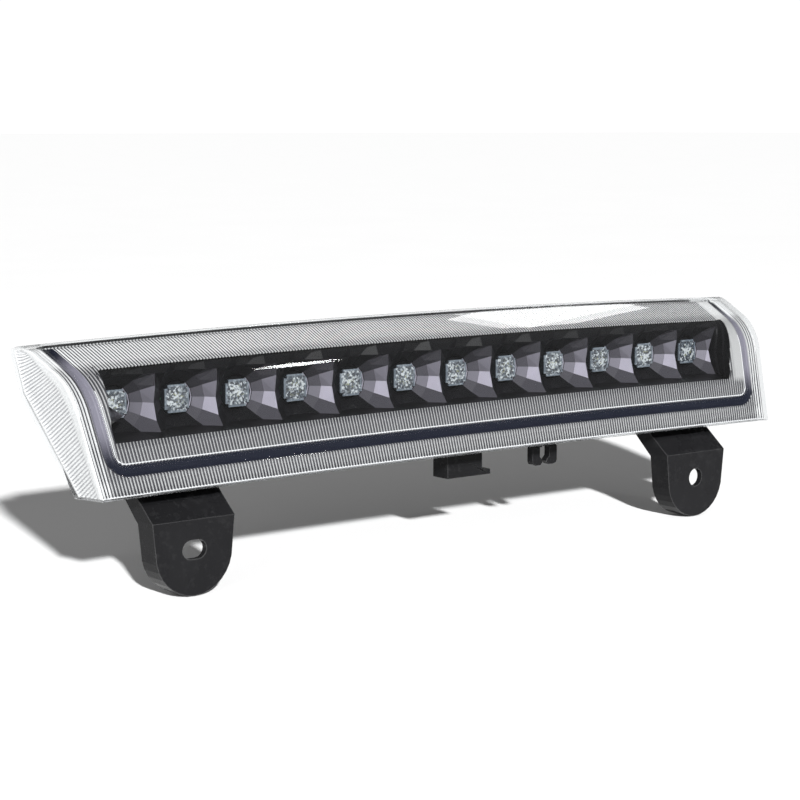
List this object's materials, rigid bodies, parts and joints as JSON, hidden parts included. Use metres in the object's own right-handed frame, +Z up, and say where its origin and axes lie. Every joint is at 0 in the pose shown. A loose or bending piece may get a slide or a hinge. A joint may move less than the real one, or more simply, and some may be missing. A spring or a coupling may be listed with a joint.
{
  "type": "third brake light",
  "caption": "High-mounted vehicle brake light: clear ribbed lens over a row of LEDs in a faceted black reflector, on a black housing with two screw ears, a socket and a snap clip.",
  "frame": {"origin": "middle of the lamp's bounding box", "axes": "+X along the lamp to the right as seen from behind the vehicle, +Y from the lens's face to the back of the housing, +Z up"},
  "size_m": [0.2966, 0.045, 0.0772],
  "materials": {
    "clear_lens": "clear, polished outside, ribbed inside",
    "housing": "satin moulded",
    "reflector": "high gloss black",
    "led_package": "matt",
    "clear_optic": "clear, polished",
    "board": "satin solder resist",
    "screw_steel": "zinc plated",
    "component": "matt",
    "capacitor_can": "bright",
    "sealant": "matt",
    "connector": "satin",
    "terminal": "tinned",
    "red_jacket": "satin",
    "black_jacket": "satin",
    "clip": "satin",
    "vent": "matt"
  },
  "bodies": {
    "lamp": {"outer_lens": "clear_lens", "rear_housing": "housing", "led_reflector": "reflector", "led_01": "led_package", "led_02": "led_package", "led_03": "led_package", "led_04": "led_package", "led_05": "led_package", "led_06": "led_package", "led_07": "led_package", "led_08": "led_package", "led_09": "led_package", "led_10": "led_package", "led_11": "led_package", "led_12": "led_package", "led_optic_01": "clear_optic", "led_optic_02": "clear_optic", "led_optic_03": "clear_optic", "led_optic_04": "clear_optic", "led_optic_05": "clear_optic", "led_optic_06": "clear_optic", "led_optic_07": "clear_optic", "led_optic_08": "clear_optic", "led_optic_09": "clear_optic", "led_optic_10": "clear_optic", "led_optic_11": "clear_optic", "led_optic_12": "clear_optic", "circuit_board": "board", "board_screw_1": "screw_steel", "board_screw_2": "screw_steel", "board_screw_3": "screw_steel", "board_screw_4": "screw_steel", "driver_chip": "component", "rectifier_diode": "component", "resistor_1": "component", "resistor_2": "component", "resistor_3": "component", "capacitor": "capacitor_can", "lens_seal": "sealant", "connector_socket": "connector", "terminal_1": "terminal", "terminal_2": "terminal", "lead_wire_1": "red_jacket", "lead_wire_2": "black_jacket", "breather_vent": "vent"},
    "left_prong": {"clip_prong_left": "clip"},
    "right_prong": {"clip_prong_right": "clip"}
  },
  "joints": [
    {"name": "left_prong_flex", "type": "hinge", "parent": "lamp", "child": "left_prong", "pos_m": [0.03885, -0.00647, -0.0084], "axis": [0, -1, 0], "range_deg": [0, 4], "stiffness_Nm_per_rad": 0.05},
    {"name": "right_prong_flex", "type": "hinge", "parent": "lamp", "child": "right_prong", "pos_m": [0.04665, -0.00647, -0.0084], "axis": [0, 1, 0], "range_deg": [0, 4], "stiffness_Nm_per_rad": 0.05}
  ]
}
